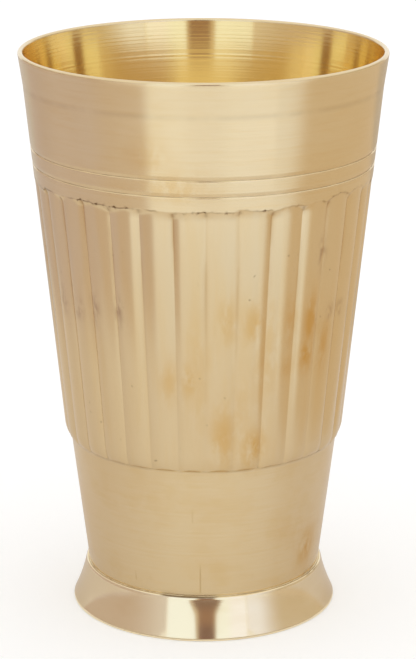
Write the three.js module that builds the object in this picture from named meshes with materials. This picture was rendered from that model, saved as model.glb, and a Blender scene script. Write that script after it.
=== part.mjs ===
// A footed brass drinking tumbler, reeded round its middle. It has five pieces: a turned wall, a floor let into
// the wall's lower end, a flared foot slipped over both, and the two rings of braze that hold them together.
// Millimetres, +Z up. The origin is the centre of the circle that the foot stands on.
import * as THREE from "three";

// Heights, stacked from the table up to the lip
const footRecess = 2.0; // hollow under the foot's inner shoulder
const shoulderThickness = 1.3; // the shoulder that carries the floor
const socketDepth = 5.4; // how far the wall and floor go down into the foot
const barrelHeight = 28.7; // plain barrel, from the foot up to the step
const stepHeight = 2.5; // the rounded step under the reeds
const reedHeight = 53.9; // reeded band, from the step up to the ends of the valleys
const collarHeight = 3.0; // plain collar, from the reeds up to the lower groove
const grooveSpacing = 3.4; // from the lower groove up to the upper one
const lipBandHeight = 19.8; // plain band, from the upper groove up to the lip

// Outside radii
const barrelFootRadius = 24.85; // barrel where it enters the foot
const barrelTopRadius = 28.4; // barrel under the step
const stepOut = 1.4; // how far the band above the step stands out beyond the barrel
const lipRadius = 38.3; // widest part of the lip
const lipFlare = 0.3; // how far the lip turns out beyond the straight taper
const lipFlareHeight = 7.0; // how far down from the lip the flare begins

// Wall
const footWall = 1.1; // wall where it enters the foot
const barrelTopWall = 1.2; // wall under the step
const flareWall = 1.3; // wall where the flare begins
const lipThickness = 1.1;

// Reeds and grooves
const reedCount = 32;
const facetsPerReed = 4;
const reedRecess = 0.12; // how far a reed's crest lies below the turned surface
const reedDepth = 0.55; // from a reed's crest down to the sharp valley beside it
const reedEndHeight = 1.4; // height over which the cut runs out at the reeds' upper ends
const grooveDepth = 0.2;
const grooveUpperFlank = 0.75; // long slope from the groove's line up to the surface
const grooveLowerFlank = 0.2; // short slope from the groove's line down to the surface

// Floor
const flangeThickness = 1.2; // under the end of the wall
const bossHeight = 1.6; // raised middle, inside the bore

// Foot
const footLedge = 0.5; // top edge of the foot beyond the braze
const footSpread = 2.85; // how far the foot stands out at the table beyond its top edge
const footHollow = 0.3; // how far the flare curves in from a straight cone
const footLand = 1.7; // flat ring that stands on the table
const footEdge = 0.2; // small bevel at the foot's lower edge
const shoulderWidth = 2.2; // shoulder, from the socket inward

// Joints
const jointGap = 0.15; // gap that the braze fills
const floorFillet = 0.9; // braze in the corner between floor and wall
const floorFilletThroat = 0.3; // braze left over the middle of that corner
const footFillet = 0.3; // braze in the corner between wall and foot

const facets = reedCount * facetsPerReed;
const valleyDepth = reedRecess + reedDepth;

const shoulderTop = footRecess + shoulderThickness;
const footTop = shoulderTop + socketDepth;
const stepBottom = footTop + barrelHeight;
const reedBottom = stepBottom + stepHeight;
const reedTop = reedBottom + reedHeight;
const lowerGroove = reedTop + collarHeight;
const upperGroove = lowerGroove + grooveSpacing;
const lipTop = upperGroove + lipBandHeight;
const lipCentre = lipTop - lipThickness / 2;
const flareBottom = lipTop - lipFlareHeight;
const wallEnd = shoulderTop + flangeThickness;
const floorTop = wallEnd + bossHeight;
const bandRadius = barrelTopRadius + stepOut;

const { lerp, mapLinear } = THREE.MathUtils;

function barrelRadius(height) {
  return mapLinear(height, footTop, stepBottom, barrelFootRadius, barrelTopRadius);
}

function bandTaperRadius(height) {
  return mapLinear(height, reedBottom, lipCentre, bandRadius, lipRadius - lipFlare);
}

function lowerBoreRadius(height) {
  return mapLinear(height, footTop, stepBottom, barrelFootRadius - footWall, barrelTopRadius - barrelTopWall);
}

// A point of an outline. The reeds' cutter is lifted there by cutterLift, and a full lift leaves the surface whole.
function point(radius, height, cutterLift = valleyDepth) {
  return { radius, height, cutterLift };
}

// Even steps from 0 to 1, without the 0
function steps(count) {
  return Array.from({ length: count }, (_, index) => (index + 1) / count);
}

// Depth of the reeds' cut at an angle, between a crest and a valley. A valley faces the front.
function reedCut(angle, cutterLift) {
  const reed = (angle / (2 * Math.PI)) * reedCount;
  const acrossReed = 2 * (reed - Math.floor(reed)) - 1;
  return Math.max(0, reedRecess + reedDepth * acrossReed * acrossReed - cutterLift);
}

// Turns an outline about the Z axis and cuts the reeds. An outline that leaves the axis free is closed into a ring.
function turned(outline) {
  const ring = outline[0].radius > 0 ? [...outline, outline[0]] : outline;
  const profile = ring.map(({ radius, height }) => new THREE.Vector2(radius, height));
  const geometry = new THREE.LatheGeometry(profile, facets);
  const position = geometry.getAttribute("position");
  for (let column = 0; column <= facets; column++) {
    const angle = (column / facets) * 2 * Math.PI;
    ring.forEach(({ radius, cutterLift }, row) => {
      const cutRadius = radius - reedCut(angle, cutterLift);
      const index = column * ring.length + row;
      position.setX(index, cutRadius * Math.sin(angle));
      position.setZ(index, cutRadius * Math.cos(angle));
    });
  }
  return geometry.rotateX(Math.PI / 2);
}

function piece(name, outline, color, roughness) {
  const finish = new THREE.MeshStandardMaterial({ color, roughness, metalness: 1 });
  const mesh = new THREE.Mesh(turned(outline), finish);
  mesh.name = name;
  return mesh;
}

// Wall: up the outside, over the lip and down the bore
function stepOutline() {
  return steps(3).map((share) => {
    const turn = (share * Math.PI) / 2;
    const radius = barrelTopRadius + stepOut * Math.sin(turn);
    return point(radius, reedBottom - stepHeight * Math.cos(turn), valleyDepth * (1 - Math.sin(turn)));
  });
}

function reedEndOutline() {
  return [0, ...steps(3)].map((share) => {
    const height = reedTop - reedEndHeight * (1 - share);
    return point(bandTaperRadius(height), height, valleyDepth * share * share);
  });
}

function grooveOutline(height) {
  const lowerEdge = height - grooveLowerFlank;
  const upperEdge = height + grooveUpperFlank;
  return [
    point(bandTaperRadius(lowerEdge), lowerEdge),
    point(bandTaperRadius(height) - grooveDepth, height),
    point(bandTaperRadius(upperEdge), upperEdge),
  ];
}

function flareOutline() {
  return [0, ...steps(3)].map((share) => {
    const height = lerp(flareBottom, lipCentre, share);
    return point(bandTaperRadius(height) + lipFlare * share * share, height);
  });
}

function lipOutline() {
  const round = lipThickness / 2;
  return steps(4).map((share) => {
    const turn = share * Math.PI;
    return point(lipRadius - round + round * Math.cos(turn), lipCentre + round * Math.sin(turn));
  });
}

const wallOutline = [
  point(barrelRadius(wallEnd), wallEnd),
  point(barrelTopRadius, stepBottom),
  ...stepOutline(),
  ...reedEndOutline(),
  ...grooveOutline(lowerGroove),
  ...grooveOutline(upperGroove),
  ...flareOutline(),
  ...lipOutline(),
  point(bandTaperRadius(flareBottom) - flareWall, flareBottom),
  point(barrelTopRadius - barrelTopWall, stepBottom),
  point(lowerBoreRadius(wallEnd), wallEnd),
];

// Floor: its flange lies under the end of the wall, its boss fits the bore
const floorOutline = [
  point(0, shoulderTop),
  point(barrelRadius(shoulderTop), shoulderTop),
  point(barrelRadius(wallEnd), wallEnd),
  point(lowerBoreRadius(wallEnd) - jointGap, wallEnd),
  point(lowerBoreRadius(floorTop) - jointGap, floorTop),
  point(0, floorTop),
];

// Foot: a socket for the barrel, a shoulder under the floor and a flared skirt
const footTopRadius = barrelFootRadius + jointGap + footLedge;
const footRadius = footTopRadius + footSpread;
const socketEndRadius = barrelRadius(shoulderTop) + jointGap;

function flareSkirt() {
  return [0, ...steps(4)].map((share) => {
    const height = lerp(footEdge, footTop, share);
    const hollow = 4 * footHollow * share * (1 - share);
    return point(lerp(footRadius, footTopRadius, share) - hollow, height);
  });
}

const footOutline = [
  point(footRadius - footEdge - footLand, 0),
  point(footRadius - footEdge, 0),
  ...flareSkirt(),
  point(barrelFootRadius + jointGap, footTop),
  point(socketEndRadius, shoulderTop),
  point(socketEndRadius - shoulderWidth, shoulderTop),
  point(socketEndRadius - shoulderWidth, footRecess),
];

// Braze: each ring fills its joint and ends in a fillet
const floorBrazeOutline = [
  point(lowerBoreRadius(wallEnd) - jointGap, wallEnd),
  point(lowerBoreRadius(wallEnd), wallEnd),
  point(lowerBoreRadius(floorTop + floorFillet), floorTop + floorFillet),
  point(lowerBoreRadius(floorTop) - floorFilletThroat, floorTop + floorFilletThroat),
  point(lowerBoreRadius(floorTop) - floorFillet, floorTop),
  point(lowerBoreRadius(floorTop) - jointGap, floorTop),
];

const footBrazeOutline = [
  point(barrelRadius(shoulderTop), shoulderTop),
  point(socketEndRadius, shoulderTop),
  point(barrelFootRadius + jointGap, footTop),
  point(barrelRadius(footTop + footFillet), footTop + footFillet),
];

const cup = new THREE.Group();
cup.add(piece("cup_wall", wallOutline, 0xcfae78, 0.34));
cup.add(piece("cup_floor", floorOutline, 0xcba35c, 0.38));
cup.add(piece("floor_braze_ring", floorBrazeOutline, 0xd6c08c, 0.45));

const foot = new THREE.Group();
foot.add(piece("foot_ring", footOutline, 0xd4b47c, 0.2));
foot.add(piece("foot_braze_ring", footBrazeOutline, 0xdcc896, 0.4));

const tumbler = new THREE.Group();
tumbler.add(cup, foot);

export default tumbler;
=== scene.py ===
"""Looks of a footed brass tumbler: its reeded wall, floor, flared foot and braze, on a plain studio floor."""

import math
import random
from collections import namedtuple

import bmesh
import bpy
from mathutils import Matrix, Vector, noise


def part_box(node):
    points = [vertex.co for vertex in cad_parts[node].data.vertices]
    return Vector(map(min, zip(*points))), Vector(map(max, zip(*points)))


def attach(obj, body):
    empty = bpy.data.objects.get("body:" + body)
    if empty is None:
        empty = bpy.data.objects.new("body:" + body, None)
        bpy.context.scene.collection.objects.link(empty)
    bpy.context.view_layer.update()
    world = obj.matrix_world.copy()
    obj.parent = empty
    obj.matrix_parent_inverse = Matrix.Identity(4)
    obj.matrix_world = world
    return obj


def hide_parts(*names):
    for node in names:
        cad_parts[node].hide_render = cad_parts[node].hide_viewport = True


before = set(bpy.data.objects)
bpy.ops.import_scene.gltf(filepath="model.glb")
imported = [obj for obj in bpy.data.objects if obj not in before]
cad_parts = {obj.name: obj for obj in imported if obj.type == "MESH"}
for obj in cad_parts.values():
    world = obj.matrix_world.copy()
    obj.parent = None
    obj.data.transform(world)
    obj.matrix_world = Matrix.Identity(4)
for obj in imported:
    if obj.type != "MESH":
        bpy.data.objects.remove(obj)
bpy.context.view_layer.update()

# Sizes in metres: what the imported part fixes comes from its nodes
wall_low, wall_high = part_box("cup_wall")
floor_low, floor_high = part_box("cup_floor")
foot_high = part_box("foot_ring")[1]
foot_braze_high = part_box("foot_braze_ring")[1]
floor_braze_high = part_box("floor_braze_ring")[1]

lip_top = wall_high.z
lip_radius = wall_high.x
wall_end = wall_low.z
shoulder_top = floor_low.z
floor_top = floor_high.z
foot_top = foot_high.z
foot_radius = foot_high.x

# Wall
barrel_height = 0.0287
step_height = 0.0025
reed_height = 0.0539
collar_height = 0.003
groove_spacing = 0.0034
barrel_foot_radius = 0.02485
barrel_top_radius = 0.0284
step_out = 0.0014
step_fillet = 0.0004
lip_flare = 0.0003
lip_flare_height = 0.007
mouth_flare_height = 0.021
lip_thickness = 0.0011
foot_wall = 0.0011
barrel_top_wall = 0.0012
flare_wall = 0.0013
groove_depth = 0.0002
groove_upper_flank = 0.00075
groove_lower_flank = 0.0002

# Reeds, cut by hand, so they differ a little from one to the next
reed_count = 32
columns_per_reed = 14
reed_recess = 0.00012
reed_depth = 0.0005
reed_run_out = 0.0022
first_valley = math.radians(0.9)
depth_left_at_step = 0.8
edge_wander = math.radians(0.3)
end_raggedness = 0.00025
polish_wave = 0.000012

# Foot and joints
joint_gap = 0.00015
foot_ledge = 0.0005
foot_hollow = 0.0003
foot_land = 0.0017
foot_edge = 0.0002
foot_recess = 0.002
shoulder_width = 0.0022

step_bottom = foot_top + barrel_height
reed_bottom = step_bottom + step_height
reed_top = reed_bottom + reed_height
lower_groove = reed_top + collar_height
upper_groove = lower_groove + groove_spacing
lip_centre = lip_top - lip_thickness / 2
flare_bottom = lip_top - lip_flare_height
mouth_bottom = lip_top - mouth_flare_height
band_radius = barrel_top_radius + step_out
valley_depth = reed_recess + reed_depth
reed_pitch = math.tau / reed_count

# crevice: how much the material darkens a ring, from residue in the grooves and seam and from painted shade
# in these creases
Ring = namedtuple("Ring", "radius height zone crevice", defaults=("turned", 0.0))


def line(start, end):
    """The straight line through two (height, radius) points, as a function of height."""
    slope = (end[1] - start[1]) / (end[0] - start[0])
    return lambda height: start[1] + slope * (height - start[0])


def smooth(low, high, value):
    share = min(1.0, max(0.0, (value - low) / (high - low)))
    return share * share * (3 - 2 * share)


def spread(low, high, count):
    """Evenly spread numbers after low, up to and including high."""
    return [low + (high - low) * (index + 1) / count for index in range(count)]


barrel_radius = line((foot_top, barrel_foot_radius), (step_bottom, barrel_top_radius))
band_taper = line((reed_bottom, band_radius), (lip_centre, lip_radius - lip_flare))
bore_at_step = (step_bottom, barrel_top_radius - barrel_top_wall)
lower_bore = line((foot_top, barrel_foot_radius - foot_wall), bore_at_step)
upper_bore = line(bore_at_step, (flare_bottom, band_taper(flare_bottom) - flare_wall))
mouth_bore = line((mouth_bottom, upper_bore(mouth_bottom)), (lip_centre, lip_radius - lip_thickness))


# Outlines of the turned pieces
def step_rings():
    """The rounded step under the reeds, with a small fillet where it meets the barrel."""

    def slope(share):
        turn = share * math.pi / 2
        out = (share + math.sin(turn)) / 2
        rise = (share + 1 - math.cos(turn)) / 2
        return barrel_top_radius + step_out * out, step_bottom + step_height * rise

    below = step_bottom - step_fillet
    start = (barrel_radius(below), below)
    slope_start = 0.2
    end = slope(slope_start)
    for share in spread(0, 0.8, 4):
        radius = (1 - share) ** 2 * start[0] + 2 * share * (1 - share) * barrel_top_radius + share**2 * end[0]
        height = (1 - share) ** 2 * start[1] + 2 * share * (1 - share) * step_bottom + share**2 * end[1]
        yield Ring(radius, height, crevice=0.15)
    for share in [slope_start, *spread(slope_start, 1, 9)]:
        radius, height = slope(share)
        yield Ring(radius, height, "reeds")


def groove_rings(height):
    """A scribed groove: a short slope below its line and a long one above it."""
    for share in (1.6, 1.0, 0.7, 0.4):
        below = height - groove_lower_flank * share
        cut = groove_depth * max(0, 1 - share) ** 1.5
        yield Ring(band_taper(below) - cut, below)
    yield Ring(band_taper(height) - groove_depth, height, crevice=1.0)
    for share in (0.1, 0.4, 0.75, 1.0, 1.15):
        above = height + groove_upper_flank * share
        cut = groove_depth * max(0, 1 - share)
        yield Ring(band_taper(above) - cut, above)


def lip_rings():
    for share in spread(0, 1, 9):
        height = flare_bottom + (lip_centre - flare_bottom) * share
        yield Ring(band_taper(height) + lip_flare * share, height)
    half = lip_thickness / 2
    for turn in spread(0, math.pi, 12):
        yield Ring(lip_radius - half + half * math.cos(turn), lip_centre + half * math.sin(turn))


def bore_rings():
    for height in spread(lip_centre, mouth_bottom, 10):
        yield Ring(mouth_bore(height), height, "bore")
    for height in spread(mouth_bottom, step_bottom, 20):
        yield Ring(upper_bore(height), height, "depth")
    for height in spread(step_bottom, wall_end, 9):
        yield Ring(lower_bore(height), height, "depth")


def wall_outline():
    barrel = [wall_end, *spread(wall_end, step_bottom - step_fillet, 14)]
    rings = [Ring(barrel_radius(height), height) for height in barrel]
    rings += step_rings()
    run_out_start = reed_top - 1.2 * reed_run_out
    run_out_end = reed_top + 0.4 * reed_run_out
    reeded = [*spread(reed_bottom, run_out_start, 34), *spread(run_out_start, run_out_end, 25)]
    rings += [Ring(band_taper(height), height, "reeds") for height in reeded]
    rings += groove_rings(lower_groove)
    rings += groove_rings(upper_groove)
    plain_band = spread(upper_groove + 2 * groove_upper_flank, flare_bottom - 0.001, 6)
    rings += [Ring(band_taper(height), height) for height in plain_band]
    # A faint painted shade along the foot of the lip's flare
    rings.append(Ring(band_taper(flare_bottom), flare_bottom, crevice=0.15))
    rings += lip_rings()
    rings += bore_rings()
    return rings


def foot_outline():
    top_radius = barrel_foot_radius + joint_gap + foot_ledge
    socket_end = barrel_radius(shoulder_top) + joint_gap
    rings = [Ring(foot_radius - foot_edge - foot_land, 0), Ring(foot_radius - foot_edge, 0)]
    for turn in spread(-math.pi / 2, 0, 4):
        rings.append(Ring(foot_radius + foot_edge * (math.cos(turn) - 1), foot_edge * (1 + math.sin(turn))))
    for share in spread(0, 0.97, 22):
        height = foot_edge + (foot_top - foot_edge) * share
        hollow = 4 * foot_hollow * share * (1 - share)
        rings.append(Ring(foot_radius + (top_radius - foot_radius) * share - hollow, height))
    rounding = foot_top - rings[-1].height
    for turn in spread(0, math.pi / 2, 4):
        radius = top_radius - rounding * (1 - math.cos(turn))
        rings.append(Ring(radius, foot_top - rounding * (1 - math.sin(turn)), crevice=1.0))
    rings.append(Ring(barrel_foot_radius + joint_gap, foot_top, crevice=1.0))
    rings.append(Ring(socket_end, shoulder_top))
    rings.append(Ring(socket_end - shoulder_width, shoulder_top))
    rings.append(Ring(socket_end - shoulder_width, foot_recess + foot_edge))
    rings.append(Ring(socket_end - shoulder_width + foot_edge, foot_recess))
    return rings


def floor_outline():
    """The floor disc, from the axis under it to the axis on top, with shallow turning rings on both faces."""
    turning_ring = 0.00004
    turning_pitch = 0.0011
    turning_steps = 80
    dimple_radius = 0.0006
    dimple_depth = 0.0003
    rim = lower_bore(floor_top) - joint_gap

    def ripple(radius):
        return turning_ring * math.cos(math.tau * radius / turning_pitch)

    rings = [Ring(0, shoulder_top + dimple_depth)]
    for radius in spread(dimple_radius, rim - 0.002, turning_steps):
        rings.append(Ring(radius, shoulder_top + turning_ring + ripple(radius)))
    rings.append(Ring(barrel_radius(shoulder_top), shoulder_top))
    rings.append(Ring(barrel_radius(wall_end), wall_end))
    rings.append(Ring(lower_bore(wall_end) - joint_gap, wall_end))
    rings.append(Ring(rim, floor_top))
    for radius in spread(rim - 0.0015, dimple_radius, turning_steps):
        rings.append(Ring(radius, floor_top - turning_ring + ripple(radius)))
    rings.append(Ring(0, floor_top - dimple_depth))
    return rings


def floor_braze_outline():
    top = floor_braze_high.z
    fillet = top - floor_top
    corner = lower_bore(floor_top)
    rings = [
        Ring(lower_bore(wall_end) - joint_gap, wall_end),
        Ring(lower_bore(wall_end), wall_end),
        Ring(lower_bore(top), top),
    ]
    for turn in spread(0, math.pi / 2, 6):
        rings.append(Ring(corner - fillet * math.sin(turn), top - fillet * math.sin(turn) ** 2))
    rings.append(Ring(corner - joint_gap, floor_top))
    return rings


def foot_braze_outline():
    fillet_share = 0.3
    fillet = fillet_share * (foot_braze_high.z - foot_top)
    top = foot_top + fillet
    socket = barrel_foot_radius + joint_gap
    rings = [
        Ring(barrel_radius(shoulder_top), shoulder_top),
        Ring(barrel_radius(shoulder_top) + joint_gap, shoulder_top),
        Ring(socket, foot_top),
    ]
    for turn in spread(0, math.pi / 2, 4):
        radius = socket + (barrel_radius(top) - socket) * math.sin(turn)
        rings.append(Ring(radius, foot_top + fillet * (1 - math.cos(turn))))
    return rings


# Meshes
def turned(outline, columns):
    """A bmesh turned from an outline about the Z axis. One that starts off the axis is closed into a ring."""
    shape = bmesh.new()
    crevice = shape.verts.layers.float.new("crevice")
    zone = shape.verts.layers.string.new("zone")
    points = []
    for ring in outline:
        vertex = shape.verts.new((0, -ring.radius, ring.height))
        vertex[crevice] = ring.crevice
        vertex[zone] = ring.zone.encode()
        points.append(vertex)
    ends = zip(points, points[1:] + points[:1]) if outline[0].radius > 0 else zip(points, points[1:])
    edges = [shape.edges.new(pair) for pair in ends]
    bmesh.ops.spin(
        shape,
        geom=points + edges,
        cent=(0, 0, 0),
        axis=(0, 0, 1),
        angle=math.tau,
        steps=columns,
        use_merge=True,
    )
    bmesh.ops.remove_doubles(shape, verts=shape.verts, dist=1e-7)
    bmesh.ops.recalc_face_normals(shape, faces=shape.faces)
    for face in shape.faces:
        face.smooth = True
    return shape


Reed = namedtuple("Reed", "valley depth recess end_shift end_tilt end_bow grime")


def hand_cut_reeds():
    draw = random.Random(11)
    draw_grime = random.Random(3)
    reeds = []
    for index in range(reed_count):
        valley = first_valley + index * reed_pitch
        rounder = smooth(0.2, 0.8, math.sin(valley))
        reeds.append(
            Reed(
                valley=valley + math.radians(draw.uniform(-0.35, 0.35)),
                depth=reed_depth * draw.uniform(0.85, 1.15),
                recess=reed_recess * draw.uniform(0.7, 1.4),
                end_shift=draw.uniform(-0.00025, 0.00015),
                end_tilt=draw.uniform(-0.0003, 0.0003),
                end_bow=draw.uniform(-0.0003, 0.0001) + 0.0009 * rounder,
                grime=draw_grime.uniform(0.55, 1.0) * (1.0 - 0.5 * smooth(0.0, 0.5, math.sin(valley))),
            )
        )
    return reeds


def cut_reeds(shape):
    """Cuts the reeds into the band between step and collar, with sharp valleys and ragged upper ends."""
    reeds = hand_cut_reeds()
    crevice = shape.verts.layers.float["crevice"]
    zone = shape.verts.layers.string["zone"]
    past_end = shape.verts.layers.float.new("past_end")
    grime = shape.verts.layers.float.new("grime")
    valley_vertices = set()
    for vertex in shape.verts:
        x, y, height = vertex.co
        if vertex[zone] != b"reeds":
            vertex[past_end] = -2.0 if height < reed_bottom else 2.0
            continue
        column = math.atan2(x, -y) / reed_pitch
        index = math.floor(column + 1e-4)
        share = column - index
        reed, following = reeds[index % reed_count], reeds[(index + 1) % reed_count]
        width = (following.valley - reed.valley) % math.tau
        across = 2 * share - 1
        wander = edge_wander * noise.noise((index * 3.7, height * 45, 0.5))
        angle = reed.valley + width * share + wander * (1 - abs(across))
        end = reed_top + reed.end_shift + reed.end_tilt * across + reed.end_bow * (1 - across**2)
        end += end_raggedness * noise.noise((x * 1300, y * 1300, 2.0))
        run = min(1.0, max(0.0, (height - end) / reed_run_out + 1))
        step_share = min(1.0, max(0.0, (reed_bottom - height) / step_height))
        shaped = 0.8 * across**2 + 0.2 * across**4
        upper = smooth(reed_bottom, reed_bottom + 0.5 * reed_height, height)
        shaped *= depth_left_at_step + (1 - depth_left_at_step) * upper
        cutter_lift = valley_depth * (1 - math.sqrt(1 - step_share**2))
        cut = (reed.recess + reed.depth * shaped) * (1 - run**3) - cutter_lift
        wave = polish_wave * noise.noise((x * 120, y * 120, height * 60))
        radius = math.hypot(x, y) + wave - max(0.0, cut)
        vertex.co = (radius * math.sin(angle), -radius * math.cos(angle), height)
        # Painted shade and grime down the valleys, stronger toward the top
        valley = smooth(0.8, 1.0, abs(across)) * smooth(0.0, 0.0003, cut)
        upward = smooth(reed_bottom, reed_top, height)
        vertex[crevice] = max(vertex[crevice], valley * (0.04 + 0.96 * upward**1.5))
        vertex[past_end] = 1000 * (height - end)
        vertex[grime] = reed.grime
        if run == 1.0:
            vertex[zone] = b"turned"
        if abs(across) > 0.99 and cut > 0:
            valley_vertices.add(vertex)
    for edge in shape.edges:
        if edge.verts[0] in valley_vertices and edge.verts[1] in valley_vertices:
            edge.smooth = False


Patch = namedtuple("Patch", "turn height width tall strength")

front_stains_and_painted_reflection = [
    Patch(-12.7, 0.0575, 0.0018, 0.0045, 0.6),
    Patch(-5.1, 0.0577, 0.0017, 0.004, 0.7),
    Patch(7.8, 0.0454, 0.0026, 0.0068, 0.8),
    Patch(20.0, 0.0424, 0.0027, 0.0042, 1.0),
    Patch(18.0, 0.0696, 0.0022, 0.0045, 0.8),
    Patch(8.6, 0.0704, 0.0022, 0.005, 0.6),
    Patch(33.0, 0.0693, 0.0017, 0.006, 0.6),
    Patch(42.0, 0.0684, 0.002, 0.0055, 1.2),
    Patch(41.0, 0.0615, 0.002, 0.0035, 1.2),
    Patch(50.0, 0.0626, 0.0015, 0.0055, 0.8),
    Patch(32.5, 0.0594, 0.0018, 0.003, 0.5),
    Patch(-2.0, 0.059, 0.0022, 0.014, 0.35),
    Patch(23.5, 0.0625, 0.0034, 0.013, 0.4),
    Patch(13.0, 0.05, 0.003, 0.009, 0.35),
    # These two paint a golden reflection onto the band as stain colour
    Patch(-17.5, 0.1045, 0.0042, 0.0045, 0.5),
    Patch(-9.5, 0.0985, 0.0075, 0.0028, 0.65),
    Patch(57.8, 0.0157, 0.0032, 0.0038, 1.4),
    Patch(49.0, 0.0195, 0.002, 0.003, 0.35),
    Patch(38.0, 0.0215, 0.0028, 0.003, 0.25),
]

# Painted dark reflections: darker smudges in the hollows between the reeds
painted_reflection_smudges = [
    Patch(-31.5, 0.0712, 0.001, 0.0026, 0.9),
    Patch(-42.0, 0.0707, 0.0012, 0.0028, 0.8),
    Patch(-51.0, 0.0702, 0.0016, 0.002, 0.8),
    Patch(-60.5, 0.0707, 0.0012, 0.0026, 0.7),
    Patch(45.0, 0.0828, 0.001, 0.003, 0.9),
    Patch(52.0, 0.0695, 0.001, 0.0013, 0.8),
    Patch(59.0, 0.0692, 0.001, 0.0013, 0.8),
    Patch(120.0, 0.071, 0.0011, 0.0025, 0.7),
    Patch(168.0, 0.078, 0.001, 0.002, 0.7),
    Patch(-128.0, 0.083, 0.0011, 0.0022, 0.7),
]


def back_stains():
    draw = random.Random(5)
    return [
        Patch(
            turn=draw.uniform(75, 285),
            height=draw.uniform(0.015, 0.085),
            width=draw.uniform(0.0012, 0.002),
            tall=draw.uniform(0.002, 0.006),
            strength=draw.uniform(0.3, 0.7),
        )
        for _ in range(12)
    ]


def lay_patches(shape, name, stains_and_reflection):
    """Marks how strongly each part of the outside carries each patch: stains, and painted reflections."""
    zone = shape.verts.layers.string["zone"]
    stained = shape.verts.layers.float.new(name)
    for vertex in shape.verts:
        if vertex[zone] in (b"bore", b"depth"):
            continue
        x, y, height = vertex.co
        radius = math.hypot(x, y)
        for stain_and_reflection in stains_and_reflection:
            turn = math.atan2(x, -y) - math.radians(stain_and_reflection.turn)
            across = radius * math.sin(turn) / stain_and_reflection.width
            along = (height - stain_and_reflection.height) / stain_and_reflection.tall
            if math.cos(turn) > 0:
                vertex[stained] = max(vertex[stained], stain_and_reflection.strength * math.exp(-(across**2) - along**2))


def ripple_surface(shape, depth, around, along):
    """Moves the surface in and out a little, as hand polishing leaves it."""
    for vertex in shape.verts:
        x, y, height = vertex.co
        radius = math.hypot(x, y)
        if radius > 0:
            share = 1 + depth / radius * noise.noise((x * around, y * around, height * along))
            vertex.co = (x * share, y * share, height)


def clear_seam(shape):
    """Keeps the dark line in the seam at the front, where it is painted shade on the ledge, and dirt in a few
    patches, and takes it out of the rest.
    """
    crevice = shape.verts.layers.float["crevice"]
    for vertex in shape.verts:
        x, y, _ = vertex.co
        turn = math.degrees(math.atan2(x, -y))
        front = smooth(-22, -18, turn) * (1 - smooth(4, 9, turn))
        patches = 0.45 * smooth(0.15, 0.4, noise.noise((x * 150, y * 150, 3.0)))
        vertex[crevice] *= max(front, patches)


def piece(name, shape, node, finishes):
    """Links a finished bmesh as the piece that stands for a CAD node."""
    mesh = bpy.data.meshes.new(name)
    shape.to_mesh(mesh)
    shape.free()
    for finish in finishes:
        mesh.materials.append(finish)
    obj = bpy.data.objects.new(name, mesh)
    bpy.context.scene.collection.objects.link(obj)
    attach(obj, "root")
    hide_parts(node)


# Shader values
class Shade:
    """A shader node's output. Arithmetic on it adds Math nodes to its tree."""

    def __init__(self, finish, output):
        self.finish = finish
        self.output = output

    def __add__(self, other):
        return self.finish.math("ADD", self, other)

    def __radd__(self, other):
        return self.finish.math("ADD", other, self)

    def __sub__(self, other):
        return self.finish.math("SUBTRACT", self, other)

    def __rsub__(self, other):
        return self.finish.math("SUBTRACT", other, self)

    def __mul__(self, other):
        return self.finish.math("MULTIPLY", self, other)

    def __rmul__(self, other):
        return self.finish.math("MULTIPLY", other, self)

    def __truediv__(self, other):
        return self.finish.math("DIVIDE", self, other)

    def __rtruediv__(self, other):
        return self.finish.math("DIVIDE", other, self)


class Finish:
    """The shader nodes of one material, or of the world."""

    def __init__(self, owner):
        self.owner = owner
        owner.use_nodes = True
        self.tree = owner.node_tree

    def add(self, kind, settings=None, sockets=None):
        node = self.tree.nodes.new(kind)
        for name, value in (settings or {}).items():
            setattr(node, name, value)
        for name, value in (sockets or {}).items():
            self.feed(node.inputs[name], value)
        return node

    def feed(self, socket, value):
        if isinstance(value, Shade):
            self.tree.links.new(value.output, socket)
        else:
            socket.default_value = value

    def value(self, kind, settings=None, sockets=None, output=0):
        return Shade(self, self.add(kind, settings, sockets).outputs[output])

    def math(self, operation, *values):
        return self.value("ShaderNodeMath", {"operation": operation}, dict(enumerate(values)))

    def place(self):
        return self.value("ShaderNodeTexCoord", output="Object")

    def axes(self, place):
        split = self.add("ShaderNodeSeparateXYZ", sockets={"Vector": place})
        return [Shade(self, output) for output in split.outputs]

    def mark(self, name):
        return self.value("ShaderNodeAttribute", {"attribute_name": name}, output="Fac")

    def grain(self, place, scale, detail=3.0, rough=0.55):
        stretched = self.value("ShaderNodeMapping", sockets={"Vector": place, "Scale": scale})
        settings = {"Vector": stretched, "Scale": 1.0, "Detail": detail, "Roughness": rough}
        return self.value("ShaderNodeTexNoise", sockets=settings)

    def rings(self, height, scale):
        """Marks that run straight round the piece, as a turning tool leaves them."""
        settings = {"W": height, "Scale": scale, "Detail": 1.0, "Roughness": 0.6}
        return self.value("ShaderNodeTexNoise", {"noise_dimensions": "1D"}, settings)

    def between(self, value, low, high):
        """0 below low and 1 above high, with a smooth step between them."""
        sockets = {"Value": value, "From Min": low, "From Max": high}
        return self.value("ShaderNodeMapRange", {"interpolation_type": "SMOOTHSTEP"}, sockets)

    def blend(self, share, first, second):
        return self.value("ShaderNodeMix", {"data_type": "RGBA"}, {0: share, 6: first, 7: second}, output=2)

    def bump(self, height, distance):
        return self.value("ShaderNodeBump", sockets={"Height": height, "Distance": distance, "Strength": 1.0})

    def surface(self, **sockets):
        shader = self.tree.nodes["Principled BSDF"]
        for name, value in sockets.items():
            self.feed(shader.inputs[name.replace("_", " ")], value)
        return self.owner


def colour(red, green, blue):
    return (red, green, blue, 1.0)


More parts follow.
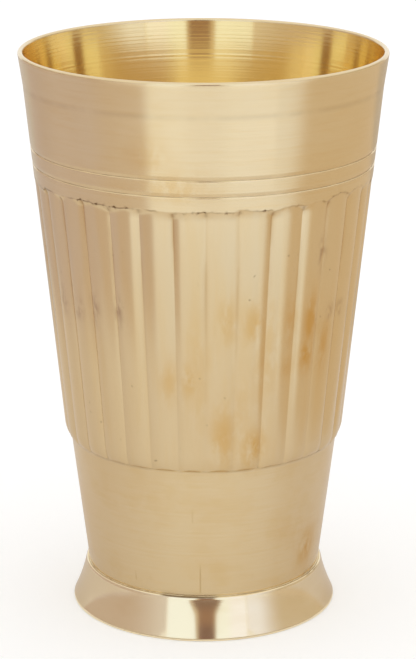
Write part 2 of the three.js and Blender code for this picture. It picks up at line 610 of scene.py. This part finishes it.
pale_brass = colour(0.80, 0.665, 0.43)
reed_brass = colour(0.775, 0.635, 0.405)
warm_brass = colour(0.77, 0.60, 0.34)
stain_and_reflection_orange = colour(0.70, 0.45, 0.16)
valley_brown = colour(0.50, 0.29, 0.10)
painted_reflection_brown = colour(0.36, 0.22, 0.13)
residue_and_shade_brown = colour(0.15, 0.08, 0.035)
bore_gold = colour(0.87, 0.71, 0.375)
bore_shade = colour(0.83, 0.63, 0.295)
depth_gold = colour(0.91, 0.77, 0.45)
depth_shade = colour(0.87, 0.69, 0.36)
foot_gold = colour(0.85, 0.735, 0.515)
braze_pale = colour(0.80, 0.68, 0.46)
braze_dull = colour(0.60, 0.46, 0.28)


def brass(name):
    return Finish(bpy.data.materials.new(name))


def residue(finish, place):
    """Polishing residue left along the ends of the reeds: a broken line with darker specks in it."""
    away = finish.math("ABSOLUTE", finish.mark("past_end"))
    specks = finish.between(finish.grain(place, (1100, 1100, 1100), detail=3), 0.53, 0.65)
    broken = finish.between(finish.grain(place, (230, 230, 90), detail=2), 0.36, 0.58)
    thin_line = (1 - finish.between(away, 0.05, 0.25)) * broken * 0.62
    dots = (1 - finish.between(away, 0.1, 0.55)) * specks * broken
    return finish.math("MINIMUM", finish.mark("grime") * (thin_line + dots), 1.0)


def stain_and_reflection_patches(finish, place):
    """Stains with a broken, mottled edge; two on the band are a painted golden reflection."""
    mottle = finish.grain(place, (380, 380, 190), detail=5, rough=0.65)
    return finish.mark("stain_and_reflection") * finish.between(mottle, 0.3, 0.58)


Scratch = namedtuple("Scratch", "turn low high strength")

barrel_scratches = [
    Scratch(-4.8, 0.0253, 0.0301, 0.2),
    Scratch(-1.5, 0.0091, 0.0169, 0.5),
    Scratch(-34.2, 0.0105, 0.0139, 0.4),
    Scratch(-26.0, 0.0113, 0.0135, 0.35),
    Scratch(23.9, 0.0119, 0.0141, 0.3),
    Scratch(50.0, 0.0189, 0.0209, 0.35),
    Scratch(131.0, 0.0112, 0.0162, 0.4),
    Scratch(-152.0, 0.0205, 0.0262, 0.3),
]


def scratches(finish, place):
    """Fine upright scratches on the barrel."""
    x, y, height = finish.axes(place)
    turn = finish.math("ARCTAN2", x, 0 - y)
    marks = 0
    for scratch in barrel_scratches:
        across = finish.math("ABSOLUTE", turn - math.radians(scratch.turn))
        above = finish.between(height, scratch.low, scratch.low + 0.001)
        below = 1 - finish.between(height, scratch.high - 0.003, scratch.high)
        marks = marks + (1 - finish.between(across, 0.001, 0.009)) * above * below * scratch.strength
    return marks


def turned_brass():
    """Barrel, collar and lip: satin brass with fine turning lines round it and a light, cloudy tarnish. The
    dark lines in the grooves, the step and the foot of the flare are partly residue and partly painted shade,
    and two stains on the band are a painted golden reflection.
    """
    finish = brass("turned_brass")
    place = finish.place()
    clouds = finish.grain(place, (38, 38, 55))
    height = finish.axes(place)[2]
    stains_and_reflection = stain_and_reflection_patches(finish, place)
    # Darker in the grooves, creases and seam: partly residue, partly painted shade
    dirt_and_shade = finish.mark("crevice") * finish.between(finish.grain(place, (200, 200, 60)), 0.28, 0.6)
    lines = finish.between(finish.rings(height, 1900), 0.35, 0.7)
    scuffs = finish.between(finish.grain(place, (160, 160, 900), detail=4, rough=0.65), 0.48, 0.66)
    on_barrel = 1 - finish.between(height, step_bottom - 0.001, step_bottom)
    mottle = finish.grain(place, (130, 130, 110), detail=4, rough=0.6)
    mottle = finish.between(mottle, 0.46, 0.64) * on_barrel
    tarnish = finish.between(clouds, 0.42, 0.75) * 0.5 + lines * 0.25 + scuffs * 0.25 + mottle * 0.4
    base = finish.blend(finish.math("MINIMUM", tarnish, 1.0), pale_brass, warm_brass)
    # Stains, and a painted golden reflection on the band
    base = finish.blend(finish.math("MINIMUM", stains_and_reflection * 0.8, 1.0), base, stain_and_reflection_orange)
    base = finish.blend(scratches(finish, place), base, valley_brown)
    base = finish.blend(dirt_and_shade * 0.8, base, residue_and_shade_brown)
    base = finish.blend(residue(finish, place) * 0.9, base, residue_and_shade_brown)
    return finish.surface(
        Base_Color=base,
        Metallic=1.0,
        Roughness=0.19 + 0.05 * clouds + 0.02 * dirt_and_shade + 0.02 * stains_and_reflection,
        Anisotropic=0.9,
        Anisotropic_Rotation=0.25,
        Normal=finish.bump(finish.rings(height, 1600) + 2 * finish.rings(height, 350), 0.000008),
    )


def reeded_brass():
    """The reeds: smoother brass, stained in places, with dark residue at the ends, darkening down the valleys
    that is partly grime and partly painted shade, painted shade where the valleys run out, and painted dark
    reflections in some hollows.
    """
    finish = brass("reeded_brass")
    place = finish.place()
    clouds = finish.grain(place, (60, 60, 22))
    stains_and_reflection = stain_and_reflection_patches(finish, place)
    # Valleys darkened: partly grime, partly painted shade
    dirt_and_shade = finish.mark("crevice") * finish.between(finish.grain(place, (300, 300, 45)), 0.35, 0.65)
    pits = finish.between(finish.grain(place, (620, 620, 620), detail=1), 0.755, 0.795)
    # Painted shade where each valley runs out below the reed's end
    below_end = finish.math("ABSOLUTE", finish.mark("past_end") + 0.6)
    painted_notch_shade = finish.mark("crevice") * (1 - finish.between(below_end, 0.2, 0.7))
    streaks = finish.between(finish.grain(place, (420, 420, 10), detail=3), 0.4, 0.7)
    speckle = finish.between(finish.grain(place, (900, 900, 400), detail=4), 0.35, 0.6)
    # Painted dark reflections in the hollows
    painted_reflection_mask = finish.mark("painted_reflection") * speckle
    base = finish.blend(finish.between(clouds, 0.4, 0.75) * 0.45 + streaks * 0.45, reed_brass, warm_brass)
    base = finish.blend(finish.math("MINIMUM", stains_and_reflection, 1.0), base, stain_and_reflection_orange)
    base = finish.blend(painted_reflection_mask * 0.7, base, painted_reflection_brown)
    base = finish.blend(dirt_and_shade * 0.55, base, valley_brown)
    base = finish.blend(painted_notch_shade * 0.3, base, residue_and_shade_brown)
    base = finish.blend(pits * 0.35, base, residue_and_shade_brown)
    base = finish.blend(residue(finish, place) * 0.9, base, residue_and_shade_brown)
    return finish.surface(
        Base_Color=base,
        Metallic=1.0,
        Roughness=0.17 + 0.06 * clouds + 0.03 * stains_and_reflection,
        Normal=finish.bump(finish.grain(place, (700, 700, 90), detail=3), 0.000008),
    )


def bore_brass():
    """Inside of the cup: deeper gold, with the marks of the turning tool all round."""
    finish = brass("bore_brass")
    place = finish.place()
    clouds = finish.grain(place, (30, 30, 40))
    height = finish.axes(place)[2]
    base = finish.blend(finish.between(clouds, 0.35, 0.75) * 0.6, bore_gold, bore_shade)
    return finish.surface(
        Base_Color=base,
        Metallic=1.0,
        Roughness=0.115 + 0.04 * clouds,
        Anisotropic=0.7,
        Anisotropic_Rotation=0.25,
        Normal=finish.bump(finish.rings(height, 1300), 0.000012),
    )


def depth_brass():
    """Deep inside the cup: the same gold, duller where the polishing wheel doesn't reach."""
    finish = brass("depth_brass")
    place = finish.place()
    clouds = finish.grain(place, (45, 45, 60), detail=4)
    height = finish.axes(place)[2]
    base = finish.blend(finish.between(clouds, 0.35, 0.7) * 0.7, depth_gold, depth_shade)
    return finish.surface(
        Base_Color=base,
        Metallic=1.0,
        Roughness=0.33 + 0.14 * clouds,
        Normal=finish.bump(finish.rings(height, 1300), 0.00001),
    )


def foot_brass():
    """The foot: polished brass with faint turning lines."""
    finish = brass("foot_brass")
    place = finish.place()
    clouds = finish.grain(place, (45, 45, 120))
    height = finish.axes(place)[2]
    # The seam's dark line: painted shade at the front, dirt in a few patches
    dirt_and_shade = finish.mark("crevice") * finish.between(finish.grain(place, (260, 260, 260)), 0.3, 0.5)
    base = finish.blend(finish.between(clouds, 0.45, 0.8) * 0.5, foot_gold, warm_brass)
    base = finish.blend(dirt_and_shade * 0.8, base, residue_and_shade_brown)
    return finish.surface(
        Base_Color=base,
        Metallic=1.0,
        Roughness=0.07 + 0.08 * clouds + 0.1 * dirt_and_shade,
        Normal=finish.bump(finish.rings(height, 1500), 0.000003),
    )


def floor_brass():
    """The floor disc: turned brass, dulled by use."""
    finish = brass("floor_brass")
    place = finish.place()
    clouds = finish.grain(place, (70, 70, 70), detail=4)
    base = finish.blend(finish.between(clouds, 0.35, 0.7), bore_gold, warm_brass)
    return finish.surface(
        Base_Color=base,
        Metallic=1.0,
        Roughness=0.28 + 0.15 * clouds,
        Normal=finish.bump(finish.grain(place, (1500, 1500, 1500), detail=2), 0.000008),
    )


def braze():
    """The joints' filler: paler than the brass and a little lumpy."""
    finish = brass("braze")
    place = finish.place()
    lumps = finish.grain(place, (420, 420, 420), detail=3)
    base = finish.blend(finish.between(lumps, 0.4, 0.65), braze_pale, braze_dull)
    return finish.surface(
        Base_Color=base,
        Metallic=1.0,
        Roughness=0.32 + 0.2 * lumps,
        Normal=finish.bump(lumps, 0.00006),
    )


# Pieces
foot_columns = 320
floor_columns = 160
floor_braze_columns = 240


def make_wall():
    shape = turned(wall_outline(), reed_count * columns_per_reed)
    cut_reeds(shape)
    lay_patches(shape, "stain_and_reflection", front_stains_and_painted_reflection + back_stains())
    lay_patches(shape, "painted_reflection", painted_reflection_smudges)
    zone = shape.verts.layers.string["zone"]
    indices = {b"turned": 0, b"reeds": 1, b"bore": 2, b"depth": 3}
    for face in shape.faces:
        face.material_index = max(indices[vertex[zone]] for vertex in face.verts)
    shape.verts.layers.string.remove(zone)
    finishes = [turned_brass(), reeded_brass(), bore_brass(), depth_brass()]
    piece("reeded_wall", shape, "cup_wall", finishes)


def make_foot():
    shape = turned(foot_outline(), foot_columns)
    clear_seam(shape)
    ripple_surface(shape, depth=0.00001, around=90, along=60)
    piece("flared_foot", shape, "foot_ring", [foot_brass()])


def make_floor():
    shape = turned(floor_outline(), floor_columns)
    piece("floor_disc", shape, "cup_floor", [floor_brass()])


def make_braze():
    finish = braze()
    floor_ring = turned(floor_braze_outline(), floor_braze_columns)
    piece("floor_braze", floor_ring, "floor_braze_ring", [finish])
    foot_ring = turned(foot_braze_outline(), foot_columns)
    piece("foot_braze", foot_ring, "foot_braze_ring", [finish])


# Studio
camera_side = 0.00094
camera_distance = 0.5217
camera_height = 0.2129
camera_tilt = math.radians(16.379)
camera_lens = 139.6
camera_sensor = 36.0

# Cards that stand and lie round the tumbler
card_roughness = 0.9
card_height = 0.001
behind = 1.2
left_side = -0.8
right_side = 0.8
wall_height = 0.55
window_out = 1.25
window_low = 0.02
window_high = 1.3
near_radius = 0.235
near_height = 0.0005

# Post in front of the window
post_out = 0.96
post_middle = 0.045
post_half_width = 0.145
post_base_spread = 0.135
post_base_height = 0.2
post_height = 0.75


def make_camera():
    lens = bpy.data.cameras.new("camera")
    lens.lens = camera_lens
    lens.sensor_width = camera_sensor
    camera = bpy.data.objects.new("camera", lens)
    camera.location = (camera_side, -camera_distance, camera_height)
    camera.rotation_euler = (math.pi / 2 - camera_tilt, 0, 0)
    bpy.context.scene.collection.objects.link(camera)
    bpy.context.scene.camera = camera


def card(name, corners, finish, hidden=True):
    """A flat studio card. A hidden one shows in reflections only."""
    shape = bmesh.new()
    shape.faces.new([shape.verts.new(corner) for corner in corners])
    mesh = bpy.data.meshes.new(name)
    shape.to_mesh(mesh)
    shape.free()
    mesh.materials.append(finish)
    obj = bpy.data.objects.new(name, mesh)
    bpy.context.scene.collection.objects.link(obj)
    obj.visible_camera = not hidden
    obj.visible_diffuse = not hidden
    obj.visible_shadow = not hidden


def white_floor():
    """White paper, lifted to full white where it is seen or mirrored, and not in the light it sends on."""
    finish = Finish(bpy.data.materials.new("studio_floor"))
    rays = finish.add("ShaderNodeLightPath").outputs
    seen = Shade(finish, rays["Is Camera Ray"])
    for kind in ("Is Glossy Ray", "Is Transmission Ray"):
        seen = finish.math("MAXIMUM", seen, Shade(finish, rays[kind]))
    lift = finish.blend(seen, colour(0, 0, 0), colour(0.18, 0.18, 0.18))
    return finish.surface(
        Base_Color=colour(0.9, 0.9, 0.9),
        Roughness=card_roughness,
        Emission_Color=lift,
        Emission_Strength=1.0,
    )


def painted_floor_shadow():
    """A round card seen only in reflections, with the tumbler's shadow on the floor painted on: warm grey at
    its middle and sides, near white at the front of its rim, with a painted cool tint of the window's light
    at the right of the rim.
    """
    finish = Finish(bpy.data.materials.new("floor_shadow_card"))
    x, y, _ = finish.axes(finish.place())
    out = finish.math("SQRT", x * x + y * y)
    turn = finish.math("ARCTAN2", finish.math("ABSOLUTE", x), 0 - y)
    # The warm grey middle and sides are the tumbler's painted shadow; the bluer right of the rim is painted
    # window light
    middle_front, middle_side = colour(0.87, 0.81, 0.74), colour(0.75, 0.675, 0.62)
    rim_left, rim_right = colour(0.91, 0.885, 0.855), colour(0.90, 0.92, 0.96)
    rim_side = colour(0.74, 0.655, 0.58)
    middle = finish.blend(finish.between(turn, 0.2, 1.7), middle_front, middle_side)
    rim = finish.blend(finish.between(x, -0.1, 0.12), rim_left, rim_right)
    rim = finish.blend(finish.between(turn, 1.0, 1.6), rim, rim_side)
    tint = finish.blend(finish.between(out, 0.1, 0.23), middle, rim)
    return finish.surface(Base_Color=tint, Roughness=card_roughness)


def side_tint(name, side, tints, slant=0.0):
    """White that turns to one tint after another, each between two angles from the front toward one side."""
    finish = Finish(bpy.data.materials.new(name))
    x, y, _ = finish.axes(finish.place())
    aside = finish.math("ARCTAN2", side * x, 0 - y)
    out = finish.math("SQRT", x * x + y * y)
    aside = aside - slant * finish.between(out, 0.18, 0.27)
    base = colour(0.93, 0.92, 0.91)
    for start, end, tint in tints:
        base = finish.blend(finish.between(aside, math.radians(start), math.radians(end)), base, tint)
    return finish.surface(Base_Color=base, Roughness=card_roughness)


def back_tint():
    """A warm grey that deepens toward the right."""
    finish = Finish(bpy.data.materials.new("back_card"))
    x = finish.axes(finish.place())[0]
    tint = finish.blend(finish.between(x, -0.1, 0.1), colour(0.62, 0.57, 0.53), colour(0.54, 0.46, 0.37))
    return finish.surface(Base_Color=tint, Roughness=card_roughness)


def window_glow():
    """A cool white, bluer toward the right."""
    finish = Finish(bpy.data.materials.new("window"))
    x = finish.axes(finish.place())[0]
    glow = finish.blend(finish.between(x, 0.45, 0.65), colour(1.06, 1.16, 1.26), colour(1.08, 1.14, 1.36))
    return finish.surface(Base_Color=colour(0, 0, 0), Emission_Color=glow, Emission_Strength=1.0)


def wall_tint(name, start, end, pale, tint, glow=colour(0, 0, 0)):
    """A tint with the window's light painted on: paler toward the window, with a painted glow of it."""
    finish = Finish(bpy.data.materials.new(name))
    y = finish.axes(finish.place())[1]
    share = finish.between(y, start, end)
    shine = finish.blend(share, glow, colour(0, 0, 0))
    base = finish.blend(share, pale, tint)
    return finish.surface(
        Base_Color=base,
        Roughness=card_roughness,
        Emission_Color=shine,
        Emission_Strength=1.0,
    )


def make_floor_cards():
    reach = 6.0
    below = -0.00005
    paper = [(-reach, -reach), (reach, -reach), (reach, reach), (-reach, reach)]
    card("studio_floor", [(x, y, below) for x, y in paper], white_floor(), hidden=False)
    corners = 48
    turns = [math.tau * index / corners for index in range(corners)]
    near = [(near_radius * math.cos(turn), near_radius * math.sin(turn), near_height) for turn in turns]
    # A painted shadow of the tumbler on the floor round it, for reflections
    card("floor_shadow_card", near, painted_floor_shadow())
    left = [
        (-0.09, -0.139), (-0.175, -0.05), (-0.17, 0.30), (-0.35, 0.34),
        (-0.35, behind), (left_side, behind), (left_side, -0.34), (-0.22, -0.34),
    ]
    left_tints = [
        (31.5, 40, colour(0.67, 0.55, 0.47)),
        (58, 78, colour(0.66, 0.565, 0.56)),
        (100, 130, colour(0.60, 0.51, 0.50)),
    ]
    left_tint = side_tint("left_card", -1, left_tints)
    card("left_card", [(x, y, card_height) for x, y in left], left_tint)
    right = [
        (0.10, -0.10), (0.28, -0.28), (right_side, -0.28), (right_side, behind),
        (0.35, behind), (0.35, 0.34), (0.125, 0.30),
    ]
    right_tint = side_tint("right_card", 1, [(48, 64, colour(0.72, 0.59, 0.44))], slant=0.12)
    card("right_card", [(x, y, card_height) for x, y in right], right_tint)
    back = [
        (-0.17, 0.16), (0.125, 0.16), (0.125, 0.30), (0.35, 0.34),
        (0.35, behind), (-0.35, behind), (-0.35, 0.34), (-0.17, 0.30),
    ]
    card("back_card", [(x, y, card_height) for x, y in back], back_tint())


def upright(start, end, low, high):
    """The corners of an upright card that stands on the line from start to end."""
    return [(*start, low), (*start, high), (*end, high), (*end, low)]


def make_walls():
    left_wall = upright((left_side, behind), (left_side, -behind), 0, wall_height)
    # The left wall is painted paler toward the window
    left_tint = wall_tint("left_wall", -1.1, -0.2, colour(0.80, 0.74, 0.72), colour(0.65, 0.53, 0.46))
    card("left_wall", left_wall, left_tint)
    right_wall = upright((1.0, -behind), (0.85, behind), 0, wall_height)
    right_pale, right_dark = colour(0.98, 0.99, 1.0), colour(0.71, 0.60, 0.46)
    # Painted glow of the window on the right wall
    window_light = colour(0.06, 0.09, 0.26)
    right_tint = wall_tint("right_wall", -0.88, -0.22, right_pale, right_dark, glow=window_light)
    card("right_wall", right_wall, right_tint)
    window = upright((left_side, -window_out), (1.0, -window_out), window_low, window_high)
    card("window", window, window_glow())


def post_tint():
    """Brown, warmer in the middle of its height than at its ends, and paler at its edges, where a soft
    half-shade is painted round it.
    """
    finish = Finish(bpy.data.materials.new("post"))
    x, _, height = finish.axes(finish.place())
    base_brown = colour(0.28, 0.17, 0.12)
    middle_brown = colour(0.36, 0.20, 0.12)
    top_brown = colour(0.25, 0.14, 0.10)
    edge_tan = colour(0.70, 0.56, 0.40)
    tint = finish.blend(finish.between(height, 0.08, 0.2), base_brown, middle_brown)
    tint = finish.blend(finish.between(height, 0.26, 0.37), tint, top_brown)
    half = post_half_width + post_base_spread * (1 - finish.between(height, 0.0, post_base_height))
    aside = finish.math("ABSOLUTE", x - post_middle) / half
    # Painted half-shade at the post's edges
    tint = finish.blend(finish.between(aside, 0.65, 1.0), tint, edge_tan)
    return finish.surface(Base_Color=tint, Roughness=card_roughness)


def make_post():
    """A post in front of the window, broad at its base."""
    left = [(-0.25, 0), (-0.13, post_base_height), (-0.09, post_height)]
    right = [(0.18, post_height), (0.195, post_base_height), (0.31, 0)]
    card("window_post", [(x, -post_out, height) for x, height in left + right], post_tint())


def make_light():
    world = Finish(bpy.data.worlds.new("studio"))
    bpy.context.scene.world = world.owner
    background = world.tree.nodes["Background"]
    background.inputs["Color"].default_value = colour(1.0, 1.0, 1.0)
    background.inputs["Strength"].default_value = 1.0


make_wall()
make_foot()
make_floor()
make_braze()
make_camera()
make_floor_cards()
make_walls()
make_post()
make_light()

bpy.context.scene.view_settings.view_transform = "Standard"
# Light goes round inside the polished cup many times before it leaves
bpy.context.scene.cycles.glossy_bounces = 12
